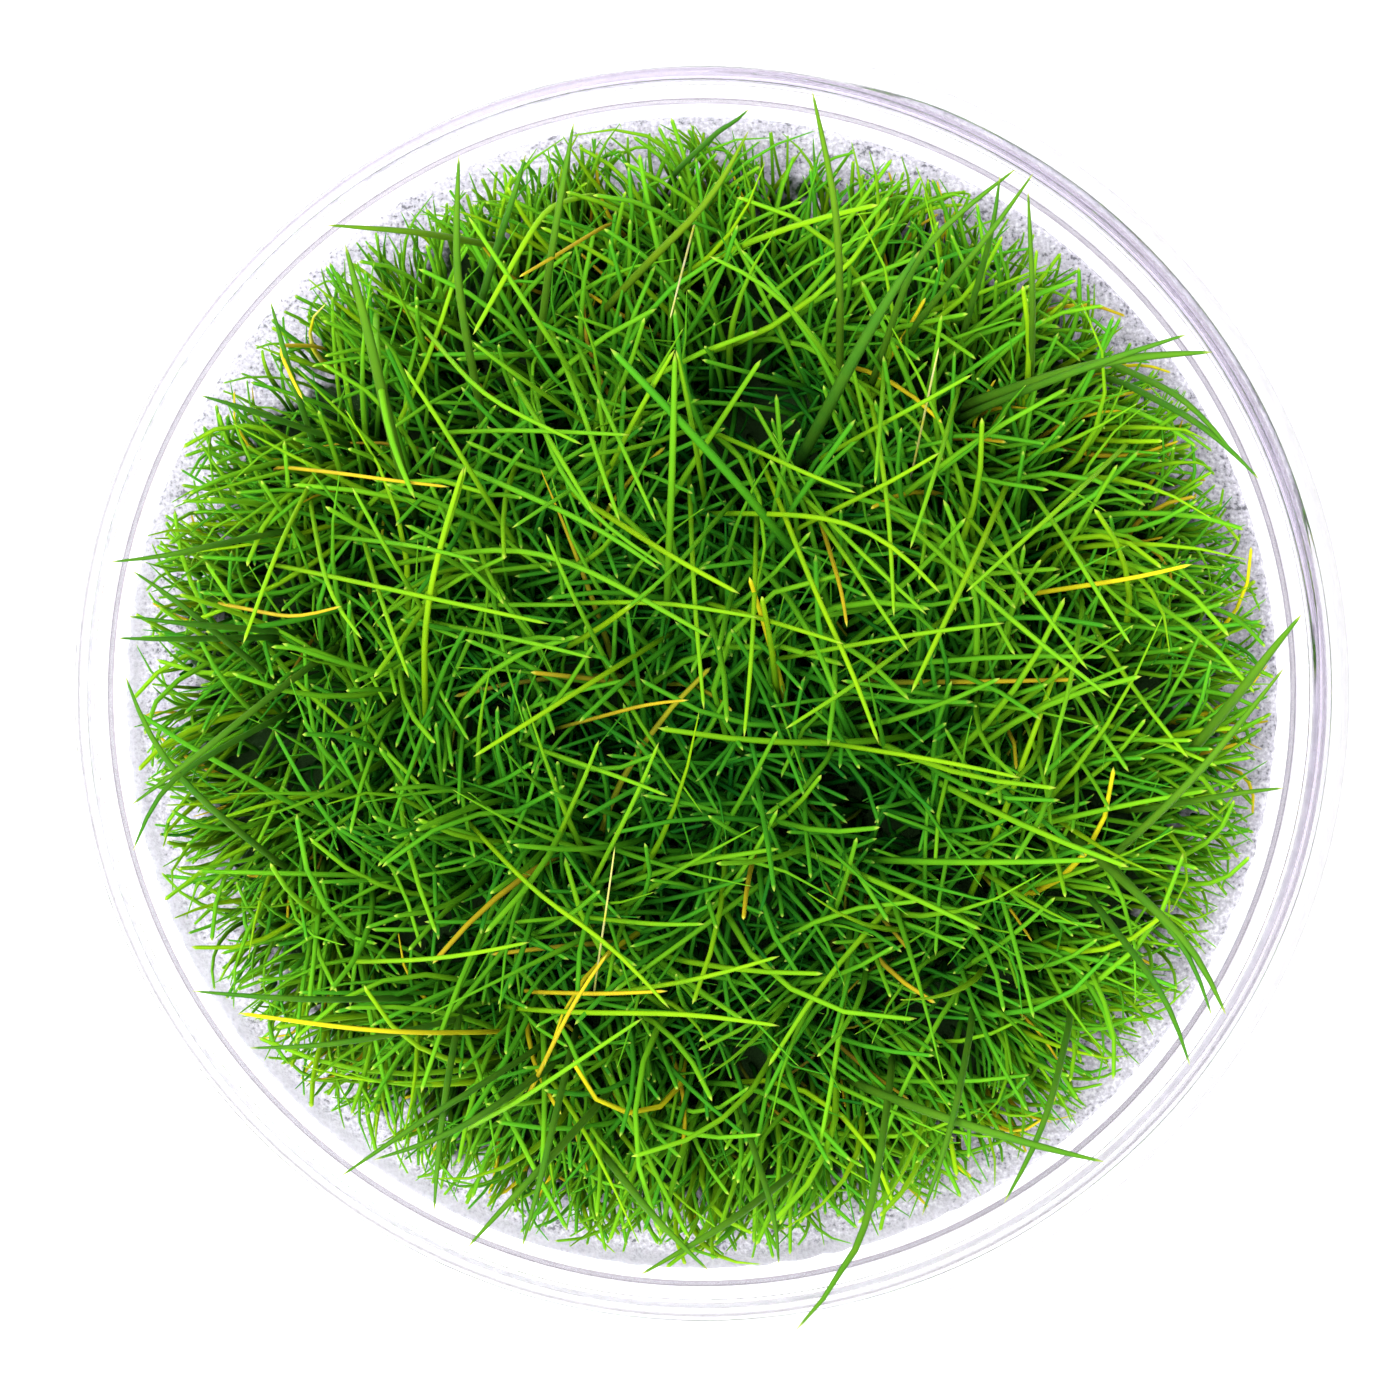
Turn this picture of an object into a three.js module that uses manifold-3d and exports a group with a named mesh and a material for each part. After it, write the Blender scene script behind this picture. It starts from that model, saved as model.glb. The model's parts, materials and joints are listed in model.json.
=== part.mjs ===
// Dwarf hairgrass grown on nutrient gel in a low, wide-mouth jar with a screw neck and no lid.
// Units are millimetres, +Z is up, and the origin is the centre of the jar's foot, on the
// surface that it stands on. The pieces are the moulded jar, the disc of gel cast in it, and one
// solid for each plantlet: a root plug in a socket of the gel, a crown at the gel's surface, and
// a flared tuft of culms that reaches to the culms' tips.

import * as THREE from "three";
import { mergeVertices } from "three/addons/utils/BufferGeometryUtils.js";
import Module from "manifold-3d";

const wasm = await Module();
wasm.setup();

// ---------- driving dimensions ----------

// Jar
const JAR_HEIGHT = 58;
const LIP_OUTER_R = 43.4;
const LIP_INNER_R = 42.2;
const LIP_ROUND = 0.2;
const BODY_R_TOP = 46.3;
const BODY_R_BASE = 45.6;
const SHOULDER_Z = 43;
const SHOULDER_ROUND = 2.6;
const WALL = 1.85;
const FLOOR_Z = 2.6;
const FLOOR_CORNER = 2.4;
const FOOT_ROUND = 2;
const PUSH_UP = 0.8;
const PUSH_UP_R = 38;
const JAR_SEGMENTS = 56;

// Screw thread on the neck
const THREAD_R = 0.95;
const THREAD_PITCH = 5;
const THREAD_TURNS = 1.25;
const THREAD_START_Z = 46.5;
const THREAD_SIDES = 8;
const THREAD_STEPS = 60;

// Gel
const GEL_Z = 20;
const GEL_GAP = 1.5;
const GEL_EDGE = 0.6;

// Plantlets
const PLANTLETS = 50;
const GOLDEN_ANGLE = Math.PI * (3 - Math.sqrt(5));
const CROWN_FIELD_R = 31.6;
const TUFT_SIDES = 8;
const CROWN_R = 1.7;
const TUFT_TOP_R = 3.7;
const ROOT_PLUG_R = 1.4;
const ROOT_PLUG_DEPTH = 6;
const SOCKET_SIDES = 6;
const SOCKET_GAP = 0.3;
const TOP_SPREAD = 1.18;
const TUFT_HEIGHT = 39;
const EDGE_DROP = 6;
const HEIGHT_STEP = 2.2;
const TIP_NOTCH = 6;

// ---------- helpers ----------

// A three.js geometry as a manifold-3d solid.
function solidOf(geometry) {
  const bare = geometry.clone();
  bare.deleteAttribute("normal");
  bare.deleteAttribute("uv");
  const merged = mergeVertices(bare, 1e-4);
  return new wasm.Manifold(
    new wasm.Mesh({
      numProp: 3,
      vertProperties: new Float32Array(merged.attributes.position.array),
      triVerts: new Uint32Array(merged.index.array),
    }),
  );
}

// A manifold-3d solid as a three.js geometry.
function geometryOf(solid) {
  const mesh = solid.getMesh();
  const places = new Float32Array(mesh.numVert * 3);
  for (let i = 0; i < mesh.numVert; i++) {
    const start = i * mesh.numProp;
    places.set(mesh.vertProperties.subarray(start, start + 3), i * 3);
  }
  const made = new THREE.BufferGeometry();
  made.setAttribute("position", new THREE.BufferAttribute(places, 3));
  made.setIndex(new THREE.BufferAttribute(new Uint32Array(mesh.triVerts), 1));
  made.computeVertexNormals();
  return made;
}

// A closed profile of (radius, height) turned about Z.
function turned(points, segments) {
  return new THREE.LatheGeometry(points, segments).rotateX(Math.PI / 2);
}

function named(name, geometry, material) {
  const mesh = new THREE.Mesh(geometry, material);
  mesh.name = name;
  return mesh;
}

// ---------- materials ----------

const clearPlastic = new THREE.MeshStandardMaterial({
  color: 0xe9e6f2,
  roughness: 0.12,
  metalness: 0,
  transparent: true,
  opacity: 0.35,
});
const agarGel = new THREE.MeshStandardMaterial({
  color: 0xd6d4dc,
  roughness: 0.35,
  metalness: 0,
});
const leafGreen = new THREE.MeshStandardMaterial({
  color: 0x4c9e12,
  roughness: 0.5,
  metalness: 0,
});

// ---------- jar ----------

// The outer radius of the drafted body wall at a height.
function bodyRadius(z) {
  const top = SHOULDER_Z - SHOULDER_ROUND;
  const share = (z - FOOT_ROUND) / (top - FOOT_ROUND);
  return BODY_R_BASE + (BODY_R_TOP - BODY_R_BASE) * share;
}

// Half the jar's section: the underside from its middle, the outside up to the lip, and the
// inside down to the floor.
function jarProfile() {
  const quarter = Math.PI / 2;
  const wallTop = SHOULDER_Z - SHOULDER_ROUND;
  const innerTop = bodyRadius(wallTop) - WALL;
  const innerBase = bodyRadius(FLOOR_Z + FLOOR_CORNER) - WALL;
  const p = new THREE.Path();
  p.moveTo(0, PUSH_UP);
  p.lineTo(PUSH_UP_R, PUSH_UP);
  p.lineTo(PUSH_UP_R + PUSH_UP, 0);
  p.absarc(BODY_R_BASE - FOOT_ROUND, FOOT_ROUND, FOOT_ROUND, -quarter, 0, false);
  p.absarc(BODY_R_TOP - SHOULDER_ROUND, wallTop, SHOULDER_ROUND, 0, quarter, false);
  p.lineTo(LIP_OUTER_R, SHOULDER_Z);
  p.lineTo(LIP_OUTER_R, JAR_HEIGHT - LIP_ROUND);
  p.lineTo(LIP_OUTER_R - LIP_ROUND, JAR_HEIGHT);
  p.lineTo(LIP_INNER_R + LIP_ROUND, JAR_HEIGHT);
  p.lineTo(LIP_INNER_R, JAR_HEIGHT - LIP_ROUND);
  p.lineTo(LIP_INNER_R, SHOULDER_Z);
  p.lineTo(innerTop, wallTop - 1);
  p.lineTo(innerBase, FLOOR_Z + FLOOR_CORNER);
  p.absarc(innerBase - FLOOR_CORNER, FLOOR_Z + FLOOR_CORNER, FLOOR_CORNER, 0, -quarter, true);
  p.lineTo(0, FLOOR_Z);
  return p.getPoints(2);
}

// The centreline of the thread: a helix on the neck's outer wall.
class ThreadHelix extends THREE.Curve {
  getPoint(t, target = new THREE.Vector3()) {
    const angle = t * THREAD_TURNS * 2 * Math.PI;
    const z = THREAD_START_Z + t * THREAD_TURNS * THREAD_PITCH;
    return target.set(LIP_OUTER_R * Math.cos(angle), LIP_OUTER_R * Math.sin(angle), z);
  }
}

function threadGeometry() {
  const section = new THREE.Shape();
  for (let i = 0; i < THREAD_SIDES; i++) {
    const angle = (i / THREAD_SIDES) * 2 * Math.PI;
    const x = THREAD_R * Math.cos(angle);
    const y = THREAD_R * Math.sin(angle);
    if (i === 0) section.moveTo(x, y);
    else section.lineTo(x, y);
  }
  return new THREE.ExtrudeGeometry(section, {
    steps: THREAD_STEPS,
    extrudePath: new ThreadHelix(),
  });
}

function jarGeometry() {
  const shell = solidOf(turned(jarProfile(), JAR_SEGMENTS));
  return geometryOf(shell.add(solidOf(threadGeometry())));
}

// ---------- plantlets ----------

// Where each plantlet stands: a sunflower spiral fills the round field evenly.
function crownPlaces() {
  const places = [];
  for (let i = 0; i < PLANTLETS; i++) {
    const radius = CROWN_FIELD_R * Math.sqrt((i + 0.5) / PLANTLETS);
    const angle = i * GOLDEN_ANGLE;
    places.push(new THREE.Vector2(radius * Math.cos(angle), radius * Math.sin(angle)));
  }
  return places;
}

// The height of plantlet i's longest culms above the gel: highest in the middle, in three steps.
function tuftHeight(i, place) {
  const share = place.length() / CROWN_FIELD_R;
  return TUFT_HEIGHT - EDGE_DROP * share * share - HEIGHT_STEP * (i % 3);
}

// One plantlet: a root plug, a crown and a flared tuft whose rim is notched into tips, all
// leaning out from the middle of the jar.
function plantletGeometry(i, place) {
  const height = tuftHeight(i, place);
  const profile = [
    new THREE.Vector2(0, -ROOT_PLUG_DEPTH),
    new THREE.Vector2(ROOT_PLUG_R, -ROOT_PLUG_DEPTH),
    new THREE.Vector2(CROWN_R, 0.6),
    new THREE.Vector2(CROWN_R + (TUFT_TOP_R - CROWN_R) * 0.6, height * 0.45),
    new THREE.Vector2(TUFT_TOP_R, height),
    new THREE.Vector2(0, height - TIP_NOTCH),
  ];
  const made = turned(profile, TUFT_SIDES);
  const spots = made.attributes.position;
  for (let n = 0; n < spots.count; n++) {
    let z = spots.getZ(n);
    const isRim = Math.hypot(spots.getX(n), spots.getY(n)) > TUFT_TOP_R * 0.98;
    const angle = Math.atan2(spots.getY(n), spots.getX(n));
    const side = Math.round((angle / (2 * Math.PI)) * TUFT_SIDES);
    if (isRim && side % 2 !== 0) z -= TIP_NOTCH;
    const up = Math.max(0, z / height);
    const lean = (TOP_SPREAD - 1) * up * up;
    spots.setXYZ(
      n,
      spots.getX(n) + place.x * (1 + lean),
      spots.getY(n) + place.y * (1 + lean),
      z + GEL_Z,
    );
  }
  return made;
}

// ---------- gel ----------

// The socket that one plantlet's roots fill, a little larger than its root plug.
function socketGeometry(place) {
  const depth = ROOT_PLUG_DEPTH + SOCKET_GAP;
  const over = 2;
  const radius = CROWN_R + SOCKET_GAP * 2;
  const made = new THREE.CylinderGeometry(radius, radius, depth + over, SOCKET_SIDES);
  made.rotateX(Math.PI / 2);
  return made.translate(place.x, place.y, GEL_Z + (over - depth) / 2);
}

// The gel disc, which has shrunk a little from the wall, with a socket for each plantlet's roots.
function gelGeometry(places) {
  const sideAt = (z) => bodyRadius(z) - WALL - GEL_GAP;
  const profile = [
    new THREE.Vector2(0, FLOOR_Z),
    new THREE.Vector2(sideAt(FLOOR_Z) - FLOOR_CORNER, FLOOR_Z),
    new THREE.Vector2(sideAt(FLOOR_Z + FLOOR_CORNER), FLOOR_Z + FLOOR_CORNER),
    new THREE.Vector2(sideAt(GEL_Z - GEL_EDGE), GEL_Z - GEL_EDGE),
    new THREE.Vector2(sideAt(GEL_Z) - GEL_EDGE, GEL_Z),
    new THREE.Vector2(0, GEL_Z),
  ];
  let gel = solidOf(turned(profile, JAR_SEGMENTS));
  for (const place of places) gel = gel.subtract(solidOf(socketGeometry(place)));
  return geometryOf(gel);
}

// ---------- assembly ----------

const places = crownPlaces();
const group = new THREE.Group();
group.add(named("jar", jarGeometry(), clearPlastic));
group.add(named("agar_gel", gelGeometry(places), agarGel));
places.forEach((place, i) => {
  const number = String(i + 1).padStart(2, "0");
  group.add(named("plantlet_" + number, plantletGeometry(i, place), leafGreen));
});

export default group;
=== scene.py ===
# %% [markdown]
# # Dwarf hairgrass in its jar
#
# Dwarf hairgrass has no leaves. What looks like a blade is a round green stem, a culm, about half
# a millimetre thick. Young plants are grown in a low clear jar, packed side by side on pale
# nutrient gel, so from above they read as one dense lawn inside a set of clear rings.
#
# This lesson dresses a fixed CAD model of that jar. It works in metres, +Z is up, and the jar
# stands on z = 0 with its axis on the Z axis.

# %% Load the frame
import json
import math

import bpy
import numpy as np
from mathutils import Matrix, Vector

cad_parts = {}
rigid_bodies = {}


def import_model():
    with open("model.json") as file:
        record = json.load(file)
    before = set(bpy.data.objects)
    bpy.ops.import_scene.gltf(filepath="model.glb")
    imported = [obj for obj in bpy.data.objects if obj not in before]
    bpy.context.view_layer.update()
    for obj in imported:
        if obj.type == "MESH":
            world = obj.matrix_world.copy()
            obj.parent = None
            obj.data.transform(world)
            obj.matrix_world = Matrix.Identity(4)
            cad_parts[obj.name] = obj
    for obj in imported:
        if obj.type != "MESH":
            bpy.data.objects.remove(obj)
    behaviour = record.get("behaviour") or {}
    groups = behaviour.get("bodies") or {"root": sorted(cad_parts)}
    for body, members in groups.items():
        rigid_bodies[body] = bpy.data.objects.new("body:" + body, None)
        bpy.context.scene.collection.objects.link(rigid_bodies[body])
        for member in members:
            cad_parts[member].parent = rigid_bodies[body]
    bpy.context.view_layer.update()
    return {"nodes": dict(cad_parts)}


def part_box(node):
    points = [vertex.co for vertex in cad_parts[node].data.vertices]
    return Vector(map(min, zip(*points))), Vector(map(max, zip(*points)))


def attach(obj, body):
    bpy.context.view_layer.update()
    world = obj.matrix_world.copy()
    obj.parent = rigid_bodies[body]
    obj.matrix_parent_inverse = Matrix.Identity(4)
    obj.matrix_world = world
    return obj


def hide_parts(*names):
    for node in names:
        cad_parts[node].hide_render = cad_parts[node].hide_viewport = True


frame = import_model()
MM = 0.001

# %% [markdown]
# ## Camera
#
# The jar is seen from straight above, with the camera far enough away that the walls hardly
# spread. Two facts set it up for a frame of 1400 pixels: how many millimetres one pixel spans at
# the height of the rim, and which pixel the jar's axis falls on. The same two facts turn any
# pixel into a place inside the jar, which is how single culms are placed later.

# %% Camera and the pixel rule
FRAME_PX = 1400
AXIS_PX = (702, 692)
PX_AT_RIM = 0.0694 * MM
CAMERA_ABOVE_RIM = 600 * MM
SENSOR = 36.0
CLIP_NEAR, CLIP_FAR = 0.05, 20

jar_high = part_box("jar")[1]
RIM_Z = jar_high.z
camera_data = bpy.data.cameras.new("camera")
camera_data.sensor_width = SENSOR
camera_data.lens = SENSOR * CAMERA_ABOVE_RIM / (FRAME_PX * PX_AT_RIM)
camera_data.clip_start = CLIP_NEAR
camera_data.clip_end = CLIP_FAR
camera = bpy.data.objects.new("camera", camera_data)
bpy.context.scene.collection.objects.link(camera)
camera.location = (
    (FRAME_PX / 2 - AXIS_PX[0]) * PX_AT_RIM,
    (AXIS_PX[1] - FRAME_PX / 2) * PX_AT_RIM,
    RIM_Z + CAMERA_ABOVE_RIM,
)
bpy.context.scene.camera = camera


def at_pixel(px, py, z):
    """The place at height z that the camera shows at a pixel of the 1400 x 1400 frame."""
    span = PX_AT_RIM * (camera.location.z - z) / CAMERA_ABOVE_RIM
    x = camera.location.x + (px - FRAME_PX / 2) * span
    y = camera.location.y - (py - FRAME_PX / 2) * span
    return np.array([x, y, z])


print("lens, mm:", round(camera_data.lens, 1))

# %% [markdown]
# ## A small language for materials
#
# Node graphs are easier to read as sums. One small class wraps a socket, so that `a * 0.5 + b`
# adds the two Math nodes, and one method makes any other node. The nodes that come up again and
# again get a short method of their own, which calls that one.

# %% The socket class


def feed(tree, pin, value):
    """Links a socket's value to a pin, or sets a plain value on it."""
    if isinstance(value, Val):
        tree.links.new(value.socket, pin)
    else:
        pin.default_value = value


class Val:
    """A number, colour or vector that comes out of a socket of one material's node tree."""

    def __init__(self, tree, socket):
        self.tree = tree
        self.socket = socket

    def _maths(self, operation, first, second):
        node = self.tree.nodes.new("ShaderNodeMath")
        node.operation = operation
        for pin, term in zip(node.inputs, (first, second)):
            feed(self.tree, pin, term)
        return Val(self.tree, node.outputs[0])

    def __add__(self, other):
        return self._maths("ADD", self, other)

    def __radd__(self, other):
        return self._maths("ADD", other, self)

    def __sub__(self, other):
        return self._maths("SUBTRACT", self, other)

    def __rsub__(self, other):
        return self._maths("SUBTRACT", other, self)

    def __mul__(self, other):
        return self._maths("MULTIPLY", self, other)

    def __rmul__(self, other):
        return self._maths("MULTIPLY", other, self)

    def __gt__(self, other):
        return self._maths("GREATER_THAN", self, other)


print("operators for nodes: + - * >")

# %% The shader class


class Shader:
    """The nodes of one material, or of the sky, and short ways to add to them."""

    def __init__(self, owner, surface="Principled BSDF"):
        owner.use_nodes = True
        self.material = owner
        self.tree = owner.node_tree
        self.surface = self.tree.nodes[surface]

    def node(self, kind, out=0, settings=None, stops=None, **pins):
        """Adds a node: its settings and a ramp's stops first, then its sockets by name."""
        made = self.tree.nodes.new("ShaderNode" + kind)
        for name, value in (settings or {}).items():
            setattr(made, name, value)
        if stops:
            ramp = made.color_ramp
            while len(ramp.elements) < len(stops):
                ramp.elements.new(0.5)
            for element, (position, colour) in zip(ramp.elements, stops):
                element.position = position
                element.color = (*colour, 1)
        for name, value in pins.items():
            feed(self.tree, self.pin(made, name), value)
        return Val(self.tree, made.outputs[out])

    @staticmethod
    def pin(node, name):
        """A socket by its name in snake case, or by number as in_3."""
        if name.startswith("in_"):
            return node.inputs[int(name[3:])]
        words = name.replace("_", " ").lower()
        return next(s for s in node.inputs if s.name.lower() == words and s.enabled)

    def set(self, **values):
        """Puts values and links on the main surface shader."""
        for name, value in values.items():
            feed(self.tree, self.pin(self.surface, name), value)

    def mix(self, share, first, second):
        """first where share is 0, second where it is 1."""
        return self.node("Mix", 2, {"data_type": "RGBA"}, in_0=share, in_6=first, in_7=second)

    def ramp(self, share, stops):
        """A colour for each share, from stops of (position, colour)."""
        return self.node("ValToRGB", stops=stops, fac=share)

    def between(self, value, low, high):
        """0 where a value is at most low, 1 where it is at least high."""
        return self.node("MapRange", value=value, in_1=low, in_2=high)

    def vectors(self, operation, first, second, out=0):
        """Vector Math on two vectors or colours."""
        return self.node("VectorMath", out, {"operation": operation}, in_0=first, in_1=second)

    def place(self):
        """Where a point is on the finished object, in metres."""
        return self.node("TexCoord", "Object")

    def from_axis(self, where):
        """How far a place is from the jar's axis."""
        flat = self.vectors("MULTIPLY", where, (1, 1, 0))
        return self.node("VectorMath", 1, {"operation": "LENGTH"}, in_0=flat)

    def along(self, where, way):
        """How far a place lies in one direction."""
        return self.vectors("DOT_PRODUCT", where, way, out=1)

    def noise(self, where, scale, detail=2.0, roughness=0.5):
        """Soft random blotches; a larger scale makes them smaller."""
        pins = {"scale": scale, "detail": detail, "roughness": roughness}
        return self.node("TexNoise", vector=where, **pins)


def rgb(red, green, blue):
    return (red, green, blue, 1)


def material(name):
    return Shader(bpy.data.materials.new(name))


print("materials helper ready")

# %% [markdown]
# ## Floor and light
#
# The jar stands on a plain white floor that glows faintly, as a light table does, so that clear
# plastic stays clear where a wall is seen end on. The sky is a soft white dome, a little greyer on
# one side, because clear plastic shows its edges only where it has something darker to bend into
# view. One big soft panel overhead gives the culms a bright side.

# %% Floor
FLOOR_SIZE = 6.0
FLOOR_DROP = 0.2 * MM
FLOOR_GREY = rgb(0.60, 0.60, 0.60)
FLOOR_GLOW = 0.9


def deselect():
    """An operator acts on all that is selected, so nothing may be left over."""
    if bpy.context.mode != "OBJECT":
        bpy.ops.object.mode_set(mode="OBJECT")
    for obj in bpy.context.view_layer.objects:
        obj.select_set(False)


deselect()
bpy.ops.mesh.primitive_plane_add(size=FLOOR_SIZE, location=(0, 0, -FLOOR_DROP))
floor = bpy.context.object
floor.name = "floor"
paper = material("floor_white")
paper.set(base_color=FLOOR_GREY, roughness=0.9, specular_ior_level=0.1)
paper.set(emission_color=rgb(1, 1, 1), emission_strength=FLOOR_GLOW)
paper.material.cycles.emission_sampling = "NONE"
floor.data.materials.append(paper.material)
print("floor:", FLOOR_SIZE, "m square")

# %% Sky and panel
SKY_SHADE_WAY = (0.6, 0.6, 0.0)
SKY_TONES = ((0.0, (1.0, 1.0, 1.0)), (0.75, (0.80, 0.77, 0.89)))
SKY_POWER = 1.15
PANEL_SIZE = 0.7
PANEL_AT = Vector((-0.40, -0.05, 1.30))
PANEL_WATTS = 34

world = bpy.data.worlds.new("sky")
bpy.context.scene.world = world
world.cycles.sampling_method = "NONE"
sky = Shader(world, "Background")
shade_side = sky.along(sky.node("TexCoord", "Generated"), SKY_SHADE_WAY)
sky.set(color=sky.ramp(shade_side, SKY_TONES), strength=SKY_POWER)

panel_data = bpy.data.lights.new("panel", "AREA")
panel_data.shape = "SQUARE"
panel_data.size = PANEL_SIZE
panel_data.energy = PANEL_WATTS
panel = bpy.data.objects.new("panel", panel_data)
panel.location = PANEL_AT
panel.rotation_mode = "QUATERNION"
panel.rotation_quaternion = (-PANEL_AT).to_track_quat("-Z", "Y")
bpy.context.scene.collection.objects.link(panel)
print("panel:", PANEL_SIZE, "m at", [round(v, 2) for v in PANEL_AT])

# %% [markdown]
# A view through the jar crosses many faces of clear plastic: two walls, and the thread wherever
# its laps overlap. With too few transmission bounces those spots turn grey. The other bounces
# can stay low, because the culms are dark enough that little light is left after the first one.

# %% How far light is followed
bpy.context.scene.view_settings.view_transform = "Standard"
bpy.context.scene.cycles.diffuse_bounces = 1
bpy.context.scene.cycles.glossy_bounces = 2
bpy.context.scene.cycles.transmission_bounces = 10
print("transmission bounces:", bpy.context.scene.cycles.transmission_bounces)

# %% [markdown]
# ## The jar
#
# A moulded jar is a body of revolution. It is drawn ring by ring, as by hand: a disc is the
# underside, and its edge is extruded and resized up the outside, over the lip and down the inside.
# The screw thread is then raised on the neck by moving the neck's own points outwards, so the
# plastic stays one skin. A separate bead pushed into the wall would show its hidden half through
# clear plastic.
#
# Two details of the neck show from above. A small moulded step runs round it inside, just over
# the shoulder, and reads as a thin speckled ring, with grey lines painted on it in its material.
# Above the step the inner wall leans outwards a little. A wall that is dead straight is seen at a
# grazing angle from above and mirrors the lawn as a dark green line.

# %% Jar sizes
RINGS_ROUND = 192
JAR_H = RIM_Z
NECK_R = 43.4 * MM
MOUTH_R = 42.2 * MM
LIP_ROUND = 0.2 * MM
LIP_INNER_ROUND = 0.05 * MM
BODY_R_TOP = jar_high.x
BODY_R_BASE = 45.6 * MM
SHOULDER_Z = 43 * MM
SHOULDER_ROUND = 2.6 * MM
WALL = 1.85 * MM
FLOOR_Z = 2.6 * MM
FLOOR_CORNER = 2.4 * MM
FOOT_ROUND = 2 * MM
PUSH_UP = 0.8 * MM
PUSH_UP_R = 38 * MM
NECK_RINGS = 44
NECK_FILLET = 0.5 * MM
NECK_FLARE = 0.8 * MM
FLARE_TOP_Z = SHOULDER_Z + 2.4 * MM
FLARE_FOOT_Z = SHOULDER_Z + 1.3 * MM
STEP_Z = SHOULDER_Z + 0.8 * MM
STEP_ROUND = 0.4 * MM
WALL_RINGS_Z = (30 * MM, 22 * MM, 14 * MM)
FLOOR_RING_R = 20 * MM

print("jar, mm:", round(2 * BODY_R_TOP / MM, 1), "across,", round(JAR_H / MM, 1), "high")

# %% Jar section


def body_radius(z):
    """The outer radius of the slightly tapered body at a height."""
    share = (z - FOOT_ROUND) / (SHOULDER_Z - SHOULDER_ROUND - FOOT_ROUND)
    return BODY_R_BASE + (BODY_R_TOP - BODY_R_BASE) * share


def inner_radius(z):
    """The radius of the jar's inner wall at a height inside the body."""
    return body_radius(z) - WALL


def arc(centre_r, centre_z, radius, start, end, steps):
    """Points (r, z) of a round corner, angles in degrees."""
    turns = np.radians(np.linspace(start, end, steps))
    return [(centre_r + radius * math.cos(a), centre_z + radius * math.sin(a)) for a in turns]


def inner_shoulder(top, inner_top):
    """The soft turn from the foot of the neck out to the inside of the body."""
    return [
        (MOUTH_R, SHOULDER_Z + 0.2 * MM),
        (MOUTH_R + 0.35 * MM, SHOULDER_Z - 0.4 * MM),
        (inner_top - 0.3 * MM, top - 0.5 * MM),
        (inner_top, top - 1.4 * MM),
    ]


def jar_section():
    """Half the jar's section, from the underside to the middle of the floor inside."""
    top = SHOULDER_Z - SHOULDER_ROUND
    corner_z = FLOOR_Z + FLOOR_CORNER
    inner_top, inner_base = inner_radius(top), inner_radius(corner_z)
    points = [(PUSH_UP_R, PUSH_UP), (PUSH_UP_R + 0.5 * PUSH_UP, 0.3 * PUSH_UP)]
    points += [(PUSH_UP_R + PUSH_UP, 0)]
    points += arc(BODY_R_BASE - FOOT_ROUND, FOOT_ROUND, FOOT_ROUND, -90, 0, 9)
    points += [(body_radius(z), z) for z in np.linspace(FOOT_ROUND, top, 12)[1:-1]]
    points += arc(BODY_R_TOP - SHOULDER_ROUND, top, SHOULDER_ROUND, 0, 82, 9)
    points += arc(NECK_R + NECK_FILLET, SHOULDER_Z + NECK_FILLET, NECK_FILLET, 270, 180, 4)
    heights = np.linspace(STEP_Z, JAR_H - LIP_ROUND, NECK_RINGS)
    points += [(NECK_R, z) for z in heights[:-1]]
    points += arc(NECK_R - LIP_ROUND, JAR_H - LIP_ROUND, LIP_ROUND, 0, 90, 5)
    points += arc(MOUTH_R + LIP_INNER_ROUND, JAR_H - LIP_INNER_ROUND, LIP_INNER_ROUND, 90, 180, 4)
    points += [(MOUTH_R + NECK_FLARE, FLARE_TOP_Z), (MOUTH_R, FLARE_FOOT_Z)]
    points += arc(MOUTH_R, STEP_Z, STEP_ROUND, 90, 270, 9)
    points += inner_shoulder(top, inner_top)
    points += [(inner_radius(z), z) for z in WALL_RINGS_Z]
    points += arc(inner_base - FLOOR_CORNER, corner_z, FLOOR_CORNER, 0, -90, 7)
    points += [(FLOOR_RING_R, FLOOR_Z)]
    return points


print("points in the section:", len(jar_section()))

# %% Draw a section as rings


def spun(name, section, segments):
    """A closed body of revolution: a disc whose edge is extruded and resized ring by ring."""
    deselect()
    radius, height = section[0]
    bpy.ops.mesh.primitive_circle_add(
        vertices=segments, radius=radius, fill_type="NGON", location=(0, 0, height)
    )
    made = bpy.context.object
    made.name = name
    bpy.ops.object.transform_apply(location=True, rotation=True, scale=True)
    bpy.ops.object.mode_set(mode="EDIT")
    bpy.ops.mesh.select_mode(type="EDGE")
    bpy.ops.mesh.select_all(action="SELECT")
    bpy.ops.mesh.region_to_loop()
    for next_radius, next_height in section[1:]:
        bpy.ops.mesh.extrude_edges_move(
            TRANSFORM_OT_translate={"value": (0, 0, next_height - height)}
        )
        grow = next_radius / radius
        bpy.ops.transform.resize(value=(grow, grow, 1), center_override=(0, 0, next_height))
        radius, height = next_radius, next_height
    bpy.ops.mesh.edge_face_add()
    bpy.ops.mesh.select_all(action="SELECT")
    bpy.ops.mesh.normals_make_consistent(inside=False)
    bpy.ops.object.mode_set(mode="OBJECT")
    return made


def smooth(obj, degrees):
    """Smooth shading, with edges sharper than this angle kept crisp."""
    deselect()
    obj.select_set(True)
    bpy.context.view_layer.objects.active = obj
    bpy.ops.object.shade_smooth_by_angle(angle=math.radians(degrees))


jar = spun("clear_jar", jar_section(), RINGS_ROUND)
print("jar faces:", len(jar.data.polygons))

# %% Raise the thread
THREAD_PITCH = 5 * MM
THREAD_TURNS = 1.25
THREAD_START_Z = 46.5 * MM
THREAD_OUT = 0.8 * MM
THREAD_HALF = 1.5 * MM
RUN_OUT = 0.06
ON_WALL = 0.02 * MM
JAR_CRISP = 40


def places(obj):
    """The vertices of a mesh as an array."""
    found = np.empty(len(obj.data.vertices) * 3)
    obj.data.vertices.foreach_get("co", found)
    return found.reshape(-1, 3)


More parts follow.
